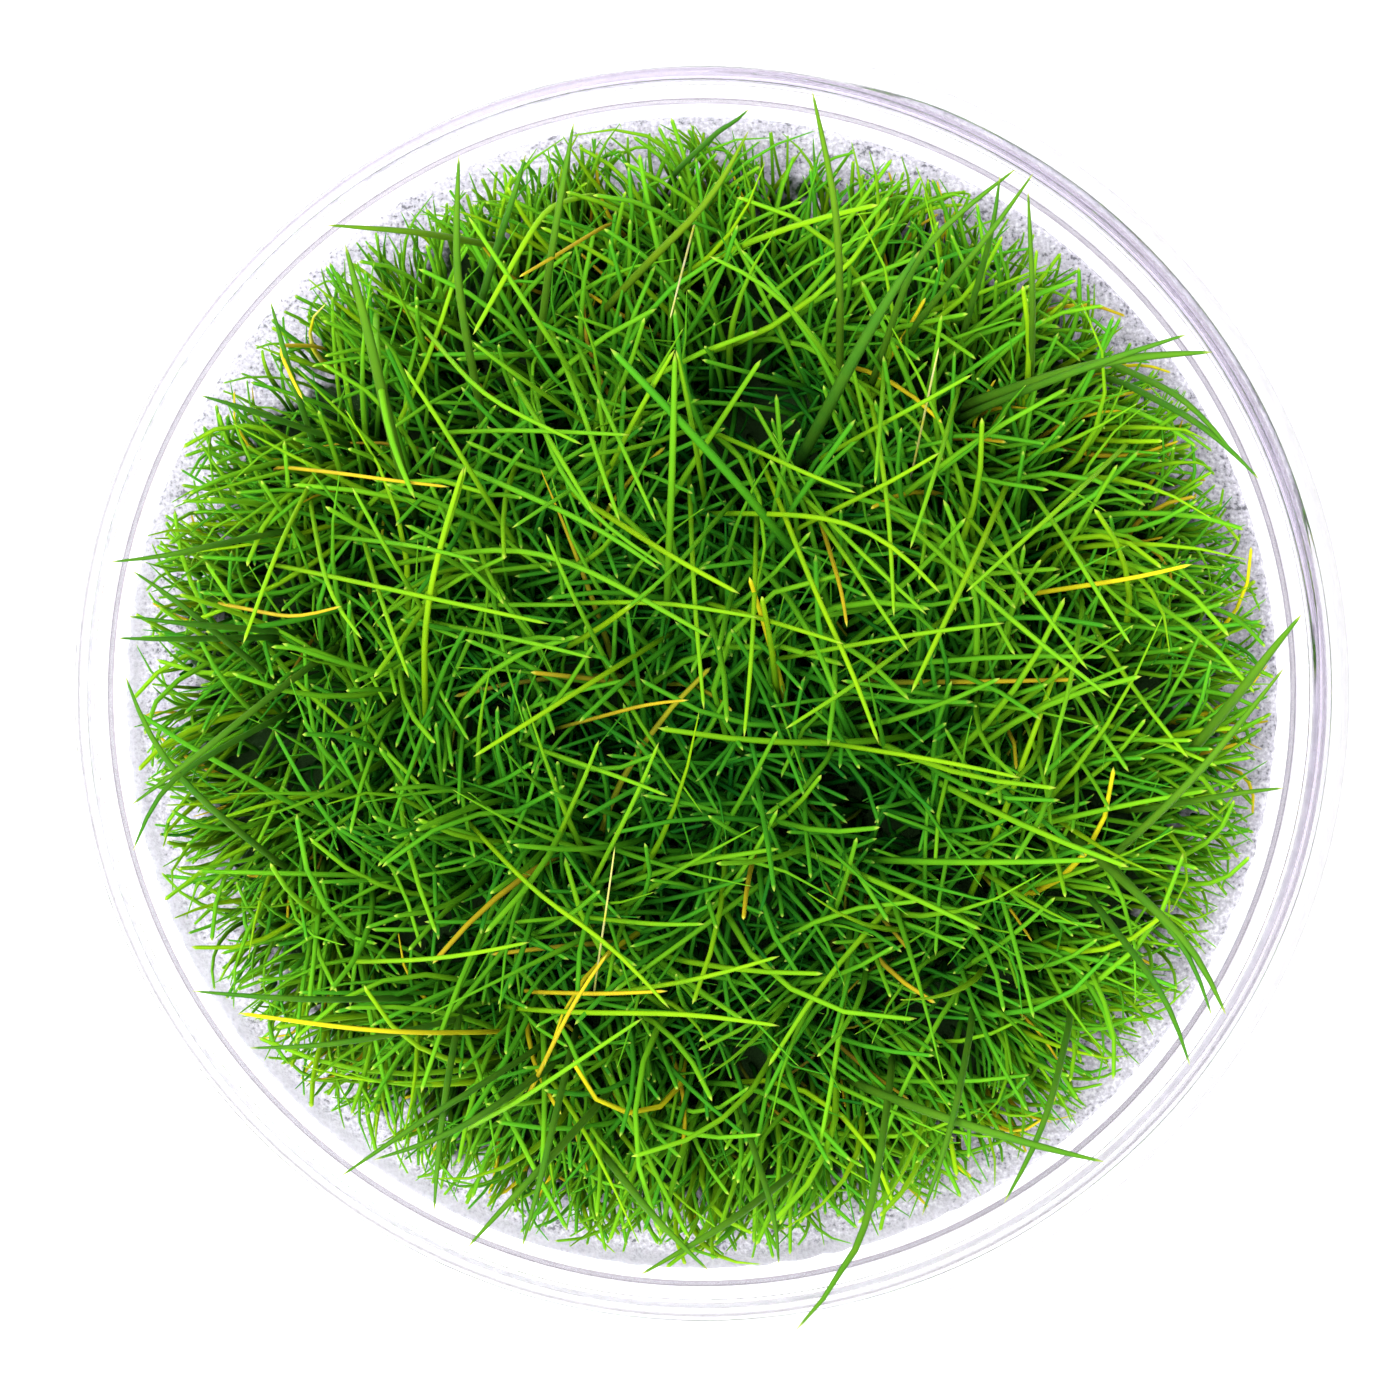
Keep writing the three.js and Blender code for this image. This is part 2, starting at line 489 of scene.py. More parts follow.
def set_places(obj, points):
    obj.data.vertices.foreach_set("co", np.asarray(points, dtype=np.float32).ravel())
    obj.data.update()


def away(points):
    """How far each point is from the jar's axis."""
    return np.hypot(points[..., 0], points[..., 1])


def push_out(points, by):
    """Moves points straight away from the axis, or towards it where by is below 0."""
    reach = away(points)
    points[..., :2] *= ((reach + by) / np.maximum(reach, 1e-9))[..., None]


def thread_height(points):
    """How far the helical bead lifts each point of the neck."""
    turn = (np.arctan2(points[:, 1], points[:, 0]) / (2 * math.pi)) % 1
    lift = np.zeros(len(points))
    for lap in range(math.ceil(THREAD_TURNS)):
        along = turn + lap
        middle = THREAD_START_Z + along * THREAD_PITCH
        across = np.clip((points[:, 2] - middle) / THREAD_HALF, -1, 1)
        left = np.clip(np.minimum(along, THREAD_TURNS - along) / RUN_OUT, 0, 1)
        lift = np.maximum(lift, THREAD_OUT * (0.5 + 0.5 * np.cos(across * math.pi)) * left)
    return lift


def raise_thread(obj):
    points = places(obj)
    on_neck = (abs(away(points) - NECK_R) < ON_WALL) & (points[:, 2] < JAR_H - LIP_ROUND)
    lift = thread_height(points) * on_neck
    push_out(points, lift)
    set_places(obj, points)
    return int((lift > 0).sum())


print("points on the thread:", raise_thread(jar))
smooth(jar, JAR_CRISP)

# %% [markdown]
# Clear plastic is plain transmission with a trace of lavender. Painted shade deepens the lavender
# at the lip and on the upper outer wall, much more on one side, and dark lines painted across the
# lip and the step stand in for the edges that refraction would show. Moulded walls are never quite
# flat, so a slow swell in the bump bends the reflections. Its refraction is set much lower than
# that of real plastic, because full refraction fills every wall that is seen end on with the lawn's
# green.
#
# The painted tint depends on the place alone. One mask is 0 where the jar is bright and 1 where it
# is shaded, and the painted shade follows it; other masks pick out the lip, the shoulder and the
# step inside the neck.

# %% Clear plastic: masks
# The way towards which the painted shade on the jar deepens.
SHADED_WAY = (0.64, 0.77, 0)
SHADE_FROM, SHADE_TO = -12 * MM, 30 * MM
LIP_FROM_Z, LIP_TO_Z = 57.5 * MM, 57.9 * MM
WALL_FACE_R, UPPER_WALL_Z = 46.18 * MM, 34 * MM
STEP_IN_R, STEP_OUT_R = 41.76 * MM, 42.26 * MM
SWELL_SCALE, SCUFF_SCALE = 60.0, 700.0

clear = material("clear_plastic")
spot = clear.place()
height = clear.node("SeparateXYZ", "Z", vector=spot)
reach = clear.from_axis(spot)
# Painted shade: 0 on the jar's bright side, 1 on its shaded side.
painted_shade_side = clear.between(clear.along(spot, SHADED_WAY), SHADE_FROM, SHADE_TO)
at_lip = clear.between(height, LIP_FROM_Z, LIP_TO_Z)
across_lip = clear.between(reach, MOUTH_R, NECK_R)
# Painted shade: the upper outer wall is tinted only on the shaded side.
shaded_wall_mask = (reach > WALL_FACE_R) * (height > UPPER_WALL_Z) * painted_shade_side
at_step = (height > SHOULDER_Z - 1 * MM) * (1 - (reach > STEP_OUT_R))
across_step = clear.between(reach, STEP_IN_R, STEP_OUT_R)
swell = clear.noise(spot, SWELL_SCALE, 1.0)
scuffs = clear.noise(spot, SCUFF_SCALE, 3.0)
print("masks on the jar: lip, wall and step")

# %% Clear plastic: painted shade and lines across the lip and the step
BARE = (0.985, 0.98, 0.995)
# Painted shade on the upper outer wall, on its shaded side.
PAINTED_SHADE_LAVENDER = (0.50, 0.45, 0.60)
STEP_PAINTED_GREY = (0.26, 0.25, 0.27)
# Painted shade across the lip on its shaded side: lavender bands and a darker line.
SHADED_LIP = (
    (0.18, BARE),
    (0.32, (0.66, 0.57, 0.78)),
    (0.60, (0.66, 0.56, 0.78)),
    (0.75, (0.72, 0.62, 0.85)),
    (0.84, (0.50, 0.42, 0.60)),
    (0.92, (0.62, 0.53, 0.75)),
    (0.99, (0.80, 0.76, 0.86)),
)
# A grey line painted across the lip on its bright side, where refraction would show its edge.
BRIGHT_LIP = (
    (0.78, BARE),
    (0.85, (0.46, 0.44, 0.48)),
    (0.93, (0.46, 0.44, 0.48)),
    (0.99, (0.95, 0.94, 0.97)),
)
# Speckle on the step, with darker lines painted at its edges where refraction would show them.
STEP_FLECKS_AND_PAINTED_LINES = (
    (0.22, (0.40, 0.38, 0.42)),
    (0.36, (0.56, 0.54, 0.58)),
    (0.66, (0.56, 0.54, 0.58)),
    (0.80, (0.42, 0.40, 0.44)),
)
# Painted shade: the lip takes the shaded or the bright stops by side.
lip_painted_shade = clear.mix(painted_shade_side, clear.ramp(across_lip, BRIGHT_LIP), clear.ramp(across_lip, SHADED_LIP))
# Painted shade: the upper outer wall turns lavender on the shaded side.
wall_with_painted_shade = clear.mix(shaded_wall_mask, rgb(*BARE), rgb(*PAINTED_SHADE_LAVENDER))
flecks_and_painted_lines = clear.ramp(across_step + (scuffs - 0.5) * 0.5, STEP_FLECKS_AND_PAINTED_LINES)
# Painted shade: the step is mixed halfway to grey on the jar's bright side.
step = clear.mix((1 - painted_shade_side) * 0.5, flecks_and_painted_lines, rgb(*STEP_PAINTED_GREY))
below = clear.mix(at_step, wall_with_painted_shade, step)
tint_with_painted_shade = clear.mix(at_lip, below, lip_painted_shade)
print("stops across the lip:", len(SHADED_LIP), "shaded,", len(BRIGHT_LIP), "bright")

# %% Clear plastic: the surface
CLEAR_IOR = 1.025
CLEAR_ROUGH, SCUFF_ROUGH = 0.10, 0.06
SWELL_STRENGTH, SWELL_DEPTH = 0.02, 2 * MM

clear.set(
    base_color=tint_with_painted_shade,
    roughness=scuffs * SCUFF_ROUGH + CLEAR_ROUGH,
    ior=CLEAR_IOR,
    transmission_weight=1.0,
    normal=clear.node("Bump", strength=SWELL_STRENGTH, distance=SWELL_DEPTH, height=swell),
)
jar.data.materials.append(clear.material)
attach(jar, "root")
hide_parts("jar")
print("jar dressed")

# %% [markdown]
# ## The gel
#
# Agar sets as a cloudy, faintly grey jelly. It has lost a little water and shrunk from the wall,
# so a ring of clear floor shows round it, and its rim is nibbled where it tore free. The body is
# spun like the jar, with many close rings over its top. Then its top is dimpled and its rim is
# roughened by moving points.

# %% Gel body
GEL_ROUND = 384
gel_low, gel_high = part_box("agar_gel")
GEL_Z = gel_high.z
GEL_FOOT = gel_low.z + 0.02 * MM
GEL_GAP = 1.5 * MM
GEL_EDGE = 0.6 * MM
GEL_RING_GAP = 0.9 * MM
GEL_FOOT_RINGS_R = (12 * MM, 30 * MM)
GEL_SIDE_RINGS_MM = (8, 11, 14, 16, 17.5, 18.6)
GEL_TOP_FROM_EDGE, GEL_TOP_TO_R = 0.5 * MM, 3 * MM


def gel_section():
    """Half the gel's section, from its underside over its rounded rim to its middle."""
    corner_z = FLOOR_Z + FLOOR_CORNER
    corner_r = inner_radius(corner_z) - GEL_GAP - FLOOR_CORNER
    points = [(r, GEL_FOOT) for r in GEL_FOOT_RINGS_R]
    points += arc(corner_r, corner_z, corner_z - GEL_FOOT, -90, 0, 7)
    points += [(inner_radius(z * MM) - GEL_GAP, z * MM) for z in GEL_SIDE_RINGS_MM]
    top_r = inner_radius(GEL_Z) - GEL_GAP - GEL_EDGE
    points += arc(top_r, GEL_Z - GEL_EDGE, GEL_EDGE, 0, 90, 6)
    rings = np.arange(top_r - GEL_TOP_FROM_EDGE, GEL_TOP_TO_R, -GEL_RING_GAP)
    points += [(r, GEL_Z) for r in rings]
    return points


gel = spun("agar_gel_body", gel_section(), GEL_ROUND)
print("gel faces:", len(gel.data.polygons))

# %% Gel surface
GEL_CRISP = 50
NIBBLE_SEED, NIBBLE_DEPTH = 8, 0.22 * MM
NIBBLE_FROM_R, NIBBLE_WIDTH = 39 * MM, 2.6 * MM
NIBBLE_FROM_Z, NIBBLE_HEIGHT = 15 * MM, 4 * MM
DIMPLE_SEED, DIMPLE_DEPTH = 5, 0.4 * MM
DIMPLE_R = 41 * MM
DIMPLE_WAVES = 40
SHORT_WAVE, LONG_WAVE = 2.5 * MM, 9 * MM
# How many waves, and the fewest and the most that fit round the rim.
STRETCHES, BITES = (5, 1, 5), (24, 60, 190)


def waves(rng, turns, count, fewest, most):
    """A sum of sines of random length round a ring, between about -1 and 1."""
    total = np.zeros(len(turns))
    for rate in rng.uniform(fewest, most, count):
        total += np.sin(turns * round(rate) + rng.uniform(0, 2 * math.pi))
    return total / math.sqrt(count)


def nibble(obj):
    """Small bites out of the gel's upper rim, more in some stretches than in others."""
    rng = np.random.default_rng(NIBBLE_SEED)
    points = places(obj)
    turn = np.arctan2(points[:, 1], points[:, 0])
    rough = np.clip(0.5 + 0.5 * waves(rng, turn, *STRETCHES), 0.1, 1)
    bite = np.clip(0.35 + 0.5 * waves(rng, turn, *BITES), 0, 1.4) * rough
    high = np.clip((points[:, 2] - NIBBLE_FROM_Z) / NIBBLE_HEIGHT, 0, 1)
    near = np.clip((away(points) - NIBBLE_FROM_R) / NIBBLE_WIDTH, 0, 1)
    push_out(points, -NIBBLE_DEPTH * bite * high * near)
    set_places(obj, points)


def dimple(obj):
    """Small dimples on the flat top, as sums of waves that run in many directions."""
    rng = np.random.default_rng(DIMPLE_SEED)
    points = places(obj)
    on_top = (points[:, 2] > GEL_Z - 0.01 * MM) & (away(points) < DIMPLE_R)
    lift = np.zeros(len(points))
    for _ in range(DIMPLE_WAVES):
        turn = rng.uniform(0, 2 * math.pi)
        wave = 2 * math.pi / rng.uniform(SHORT_WAVE, LONG_WAVE)
        phase = rng.uniform(0, 2 * math.pi)
        run = points[:, 0] * math.cos(turn) + points[:, 1] * math.sin(turn)
        lift += np.sin(run * wave + phase)
    points[:, 2] += on_top * (lift / DIMPLE_WAVES - 0.4) * DIMPLE_DEPTH
    set_places(obj, points)


dimple(gel)
nibble(gel)
smooth(gel, GEL_CRISP)
print("gel's top, mm:", round(places(gel)[:, 2].max() / MM, 2))

# %% [markdown]
# The jelly's mottle is three noises added: fine grain, larger blotches and faint streaks. Under
# the culms it is dark green, partly a wet litter of old plant stuff and partly painted shade under
# the lawn, and only its open ring is pale. The rim is greyer on one side: a painted shadow.

# %% Gel material
GRAIN_SCALE, BLOTCH_SCALE, STREAK_SCALE, CALM_SCALE = 3200.0, 420.0, 330.0, 45.0
GRAIN_PART, BLOTCH_PART, STREAK_PART, CALM_PART = 0.62, 0.1, 0.28, 0.08
STREAK_TURN, STREAK_STRETCH = (0, 0, 0.12), (1, 3, 1)
LITTER_ROUGH, GEL_SMOOTHER = 0.90, 0.62
# Dark green under the lawn: a litter of old plant stuff, and painted shade.
LITTER_SHADE_FROM_R, LITTER_SHADE_TO_R = 36.5 * MM, 38.5 * MM
LITTER_SHADE_WANDER = 10 * MM
LITTER_AND_SHADE_GREEN = (0.010, 0.036, 0.004)
RIM_FROM_R, RIM_TO_R = 40.9 * MM, 41.7 * MM
# A painted shadow greys the gel's rim on one side.
RIM_SHADOW_WAY = (-0.65, -0.75, 0)
RIM_SHADOW_FROM, RIM_SHADOW_TO = 5 * MM, 25 * MM
RIM_SHADOW_GREY = (0.40, 0.40, 0.43)
GEL_TONES = (
    (0.38, (0.16, 0.16, 0.18)),
    (0.43, (0.44, 0.44, 0.48)),
    (0.48, (0.56, 0.55, 0.60)),
    (0.54, (0.65, 0.64, 0.70)),
    (0.60, (0.85, 0.85, 0.88)),
)

agar = material("agar_gel")
spot = agar.place()
turned = agar.node("Mapping", vector=spot, rotation=STREAK_TURN, scale=STREAK_STRETCH)
grain = agar.noise(spot, GRAIN_SCALE, 2.0, 0.6)
blotch = agar.noise(spot, BLOTCH_SCALE, 3.0, 0.6)
streaks = agar.noise(turned, STREAK_SCALE, 3.0, 0.55)
calm = agar.noise(spot, CALM_SCALE, 1.0)
mottle = grain * GRAIN_PART + blotch * BLOTCH_PART + streaks * STREAK_PART
gel_colour = agar.ramp(mottle + (calm - 0.5) * CALM_PART, GEL_TONES)
out_to = agar.from_axis(spot)
uneven = out_to + (blotch - 0.5) * LITTER_SHADE_WANDER
bare_gel = agar.between(uneven, LITTER_SHADE_FROM_R, LITTER_SHADE_TO_R)
rim = agar.between(out_to, RIM_FROM_R, RIM_TO_R)
# Painted shadow: the rim is greyer towards one side.
rim_shadow_side = agar.between(agar.along(spot, RIM_SHADOW_WAY), RIM_SHADOW_FROM, RIM_SHADOW_TO)
open_ring = agar.mix(rim * rim_shadow_side * 0.8, gel_colour, rgb(*RIM_SHADOW_GREY))
agar.set(
    base_color=agar.mix(bare_gel, rgb(*LITTER_AND_SHADE_GREEN), open_ring),
    roughness=LITTER_ROUGH - bare_gel * GEL_SMOOTHER,
    ior=1.34,
    transmission_weight=0.0,
    normal=agar.node("Bump", strength=0.5, distance=0.4 * MM, height=mottle),
)
gel.data.materials.append(agar.material)
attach(gel, "root")
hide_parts("agar_gel")
print("gel dressed")

# %% [markdown]
# ## Strands
#
# Culms and roots are the same thing to a modeller: a thin round strand that tapers to a point
# along a curved path. There are thousands, so they aren't drawn by hand. Arrays hold all the paths
# of one plantlet, and one function skins them into a single joined mesh. Every strand also gets
# its own narrow strip of a UV map, and four numbers on each point that its material reads: how
# far along the strand it is, its own shade, what kind of strand it is, and how much daylight
# reaches it.

# %% Skin paths into one mesh
CULM_SIDES = 5
HAND_SIDES = 6
ROOT_SIDES = 4
STRIP_MARGIN = 0.08


def unit(vectors):
    return vectors / np.maximum(np.linalg.norm(vectors, axis=-1, keepdims=True), 1e-12)


def skin(paths, radii, shares, sides):
    """Vertices, faces and UV corners of closed strands. paths is (strand, point, xyz)."""
    strands = len(paths)
    along = unit(np.gradient(paths, axis=1))
    lean = paths[:, -1] - paths[:, 0]
    across = unit(np.stack([-lean[:, 1], lean[:, 0], 0 * lean[:, 0]], -1) + [1e-9, 0, 0])
    across = np.repeat(across[:, None], len(shares), axis=1)
    across = unit(across - (across * along).sum(-1, keepdims=True) * along)
    third = np.cross(along, across)
    turns = np.arange(sides) / sides * 2 * math.pi
    ring = (
        across[:, :-1, None] * np.cos(turns)[:, None] + third[:, :-1, None] * np.sin(turns)[:, None]
    )
    rings = paths[:, :-1, None] + ring * radii[:, :-1, None, None]
    points = np.concatenate([rings.reshape(strands, -1, 3), paths[:, -1:]], axis=1)
    faces, corners = strand_pattern(shares, sides)
    per = (len(shares) - 1) * sides + 1
    every = [[v + n * per for v in face] for n in range(strands) for face in faces]
    uv = np.tile(corners, (strands, 1))
    strip = np.repeat(np.arange(strands), len(corners))
    uv[:, 0] = (strip + STRIP_MARGIN + (1 - 2 * STRIP_MARGIN) * uv[:, 0]) / strands
    return points.reshape(-1, 3), every, uv


def strand_pattern(shares, sides):
    """The faces of one strand and the UV corner of each face's points."""
    faces, corners, steps = [], [], len(shares) - 1
    for k in range(steps - 1):
        for s in range(sides):
            here, beside = k * sides + s, k * sides + (s + 1) % sides
            faces.append((here, beside, beside + sides, here + sides))
            left, right = s / sides, (s + 1) / sides
            low, high = shares[k], shares[k + 1]
            corners += [(left, low), (right, low), (right, high), (left, high)]
    tip, last = steps * sides, (steps - 1) * sides
    for s in range(sides):
        faces.append((last + s, last + (s + 1) % sides, tip))
        left, right = s / sides, (s + 1) / sides
        corners += [(left, shares[-2]), (right, shares[-2]), ((left + right) / 2, 1)]
    faces.append(tuple(reversed(range(sides))))
    corners += [(s / sides, 0) for s in reversed(range(sides))]
    return faces, np.array(corners, dtype=float)


print("faces in a strand of 8 steps:", len(strand_pattern(np.linspace(0, 1, 9), CULM_SIDES)[0]))

# %% [markdown]
# Deep in a lawn it is dark and bluish, and the top is bright. Letting light bounce often enough to
# show that would be slow, so each point of a strand carries its own share of daylight: 0 on the
# gel, 1 at the lawn's domed top, and more at the open edge, where light comes in through the
# clear wall.

# %% Numbers on each point
LAWN_R = 37.0 * MM
DOME_Z = 50 * MM
DOME_DROP = 27 * MM
EDGE_LIGHT = 0.5


def daylight(points):
    """How far up the lawn a point is: 0 on the gel, 1 at its domed top, more at its open edge."""
    share = np.minimum(away(points) / LAWN_R, 1)
    dome = DOME_Z - DOME_DROP * share**2.2
    up = np.clip((points[:, 2] - GEL_Z) / (dome - GEL_Z), 0, 1)
    return up * (1 + EDGE_LIGHT * share**4)


def strand_marks(points, shades, kinds, shares, sides):
    """For each point: its share of the strand, the strand's shade and kind, and the daylight."""
    share = np.append(np.repeat(shares[:-1], sides), 1.0)
    marks = np.ones((len(shades), len(share), 4))
    marks[:, :, 0] = share
    marks[:, :, 1] = shades[:, None]
    marks[:, :, 2] = kinds[:, None]
    marks[:, :, 3] = daylight(points).reshape(marks.shape[:2])
    return marks.reshape(-1, 4)


print("daylight on the middle of the gel:", daylight(np.array([[0, 0, GEL_Z]]))[0])

# %% [markdown]
# ## Where plantlets stand
#
# The CAD nodes say where each plantlet is: the middle of its root plug. Its roots grow from the
# same spot, and its culms are those whose feet stand nearest to it.

# %% Crowns
NAMES = sorted(name for name in frame["nodes"] if name.startswith("plantlet_"))
ROOT_END = 0.1 * MM


def crown_of(name):
    """The centre of a plantlet's root plug, from the CAD node's lowest points."""
    points = places(frame["nodes"][name])
    lowest = points[points[:, 2] < points[:, 2].min() + ROOT_END]
    return lowest[:, :2].mean(axis=0)


crowns = np.array([crown_of(name) for name in NAMES])
print("plantlets:", len(NAMES), "out to, mm:", round(away(crowns).max() / MM, 1))

# %% [markdown]
# ## Growing culms
#
# The lawn is closed, so culms are scattered over the whole disc of gel and each one belongs to the
# nearest plantlet. They stand in small tufts, drawn together at the foot, and those of one tuft
# lean roughly one way. A culm leaves the gel nearly upright and leans more towards its tip. At
# the lawn's edge tufts lean outwards, where there is room and light, and the culms are shorter.
# A path is found by adding up small steps along the changing direction. Where it would reach
# past the lawn's outline, the whole culm is made shorter, so that it keeps its curve.
#
# Under them stands a second, shorter growth. It is crowded towards the edge, where it hides the
# gel between the long culms as a fringe.

# %% Where culms stand
LAWN_SEED = 11
TUFTS = 240
TUFT_PULL, LOW_PULL = 0.4, 0.05
LOW_CROWDING = 0.42
CULMS = 3500
UNDERGROWTH = 2500
UNDERGROWTH_R = 38.3 * MM
VIGOUR_SHAPE = (1.9, 3.0)
STEP_SHARES = np.array([0, 0.16, 0.32, 0.47, 0.61, 0.74, 0.86, 0.985, 1.0])


def nearest_plantlet(feet):
    gaps = feet[:, None, :2] - crowns[None]
    return np.argmin((gaps**2).sum(-1), axis=1)


def scattered(rng, count, radius, power=0.5):
    """Random places on a disc: even at power 0.5, crowded towards its edge at a lower power."""
    around = rng.uniform(0, 2 * math.pi, count)
    out = rng.uniform(0, 1, count) ** power * radius
    return out[:, None] * np.stack([np.cos(around), np.sin(around)], -1)


chance = np.random.default_rng(LAWN_SEED)
tufts = scattered(chance, TUFTS, LAWN_R)
tuft_heading = chance.uniform(0, 2 * math.pi, TUFTS)


def gathered(feet, pull):
    """Feet drawn towards the nearest tuft, and the direction that this tuft leans in."""
    nearest = np.argmin(((feet[:, None] - tufts[None]) ** 2).sum(-1), axis=1)
    return feet + pull * (tufts[nearest] - feet), tuft_heading[nearest]


feet, heading = gathered(scattered(chance, CULMS, LAWN_R), TUFT_PULL)
low_spots = scattered(chance, UNDERGROWTH, UNDERGROWTH_R, LOW_CROWDING)
low_feet, low_heading = gathered(low_spots, LOW_PULL)
vigour = chance.beta(*VIGOUR_SHAPE, CULMS)
print("culms:", CULMS, "per square mm:", round(CULMS / (math.pi * (LAWN_R / MM) ** 2), 2))

# %% Room for the culms
OUTLINE_R, OUTLINE_SPREAD, OUTLINE_MAX_R = 40.3 * MM, 1.3 * MM, 41.6 * MM
LEAST_KEPT = 0.2
WALL_CLEAR = 0.6 * MM
BELOW_NECK_Z = SHOULDER_Z - 3 * MM


def room(z):
    """How far from the axis a culm may reach at a height."""
    neck = np.where(z < RIM_Z + 0.2 * MM, MOUTH_R, 2 * MOUTH_R)
    body = inner_radius(np.minimum(z, BELOW_NECK_Z))
    return np.where(z < BELOW_NECK_Z, body, neck) - WALL_CLEAR


def kept_inside(paths, ease):
    """Turns paths that near the wall along it, within the last share of the room, ease."""
    reach = np.maximum(away(paths), 1e-9)
    share = reach / room(paths[..., 2])
    over = np.maximum(share - (1 - ease), 0)
    kept = np.minimum(share, 1 - ease) + ease * np.tanh(over / ease)
    paths[..., :2] *= (kept / share)[..., None]
    return paths


def within_outline(rng, paths):
    """Culms that reach past the lawn's uneven outline are made shorter about their feet."""
    limit = np.minimum(rng.normal(OUTLINE_R, OUTLINE_SPREAD, len(paths)), OUTLINE_MAX_R)
    foot = away(paths[:, 0])
    reach = away(paths).max(axis=1)
    share = np.clip((limit - foot) / np.maximum(reach - foot, 1e-9), LEAST_KEPT, 1)
    share = np.where(reach > limit, share, 1)[:, None, None]
    return paths[:, :1] + (paths - paths[:, :1]) * share


print("room above the gel, mm:", round(room(np.array([GEL_Z]))[0] / MM, 1))

# %% Culm paths
SHORTEST, LONGEST = 12 * MM, 43 * MM
LOWEST, HIGHEST = 6 * MM, 19 * MM
EDGE_SHORTER = 0.25
LEANS, LOW_LEANS = (15, 50, 105), (30, 70, 120)
FOOT_LEAN = 16
HEADING_SPREAD = 1.1
OUTWARD = 2.0
CURL, LOW_CURL = 1.3, 1.6
EASE, HAND_EASE = 0.12, 0.02
TALLEST = 56.5 * MM
FOOT_Z = GEL_Z - 1 * MM


def grown(rng, feet, heading, length, last, curl):
    """The path of each culm, from its foot, its tuft's heading, its length and its tip's lean."""
    count = len(feet)
    edge = away(feet) / LAWN_R
    heading = heading + rng.normal(0, HEADING_SPREAD, count)
    outward = unit(feet) * OUTWARD * edge[:, None] ** 3
    heading = np.stack([np.cos(heading), np.sin(heading)], -1) + outward
    heading = np.arctan2(heading[:, 1], heading[:, 0])
    first = np.radians(rng.uniform(0, FOOT_LEAN, count))
    ahead = np.diff(STEP_SHARES)
    share = (STEP_SHARES[:-1] + STEP_SHARES[1:]) / 2
    tilt = first[:, None] + (last - first)[:, None] * share**1.4
    veer = heading[:, None] + rng.normal(0, curl, count)[:, None] * (share - 0.5)
    step = np.stack([np.sin(tilt) * np.cos(veer), np.sin(tilt) * np.sin(veer), np.cos(tilt)], -1)
    step = step * ahead[:, None]
    height = step[..., 2].sum(1) * length
    length = length * np.minimum(1, (TALLEST - GEL_Z) / height)
    foot = np.concatenate([feet, np.full((count, 1), FOOT_Z)], axis=1)[:, None]
    climb = np.cumsum(step * length[:, None, None], axis=1)
    path = np.concatenate([foot, foot + climb], axis=1)
    return kept_inside(within_outline(rng, path), EASE)


edge = away(feet) / LAWN_R
length = (SHORTEST + (LONGEST - SHORTEST) * vigour) * (1 - EDGE_SHORTER * edge**3)
lean = np.radians(chance.triangular(*LEANS, CULMS))
paths = grown(chance, feet, heading, length, lean, CURL)
low_length = chance.uniform(LOWEST, HIGHEST, UNDERGROWTH)
low_lean = np.radians(chance.triangular(*LOW_LEANS, UNDERGROWTH))
low_paths = grown(chance, low_feet, low_heading, low_length, low_lean, LOW_CURL)
tips = paths[:, -1, 2] / MM
print("tips between, mm:", round(tips.min(), 1), "and", round(tips.max(), 1))

# %% Culm thickness
THIN, STRONGER, UNLIKE = 0.155 * MM, 0.11 * MM, 0.05 * MM
EDGE_THINNER = 0.15
LOW_THIN, LOW_THICK = 0.13 * MM, 0.21 * MM
FINE_TIP, BLUNT_TIP, LOW_TIP = 0.75, 0.25, 0.4
TIP_FROM, SLENDER = 0.45, 0.1
FINE_SHARE, EDGE_FINER = 0.2, 0.6


def tapered(radius, fine):
    """The radius at each point of each culm: almost even, then a blunt or a fine tip."""
    tip = np.clip((STEP_SHARES - TIP_FROM) / (1 - TIP_FROM), 0, 1) ** 1.6
    return radius[:, None] * (1 - SLENDER * STEP_SHARES - fine[:, None] * tip)


thickness = THIN + STRONGER * vigour + chance.uniform(0, UNLIKE, CULMS)
thickness = thickness * (1 - EDGE_THINNER * edge**3)
is_fine = chance.uniform(0, 1, CULMS) < FINE_SHARE + EDGE_FINER * edge**4
fine = np.where(is_fine, FINE_TIP, BLUNT_TIP)
radii = tapered(thickness, fine)
low_thickness = chance.uniform(LOW_THIN, LOW_THICK, UNDERGROWTH)
low_radii = tapered(low_thickness, np.full(UNDERGROWTH, LOW_TIP))
width = 2 * thickness / MM
print("culm width, mm:", round(width.min(), 2), "to", round(width.max(), 2))
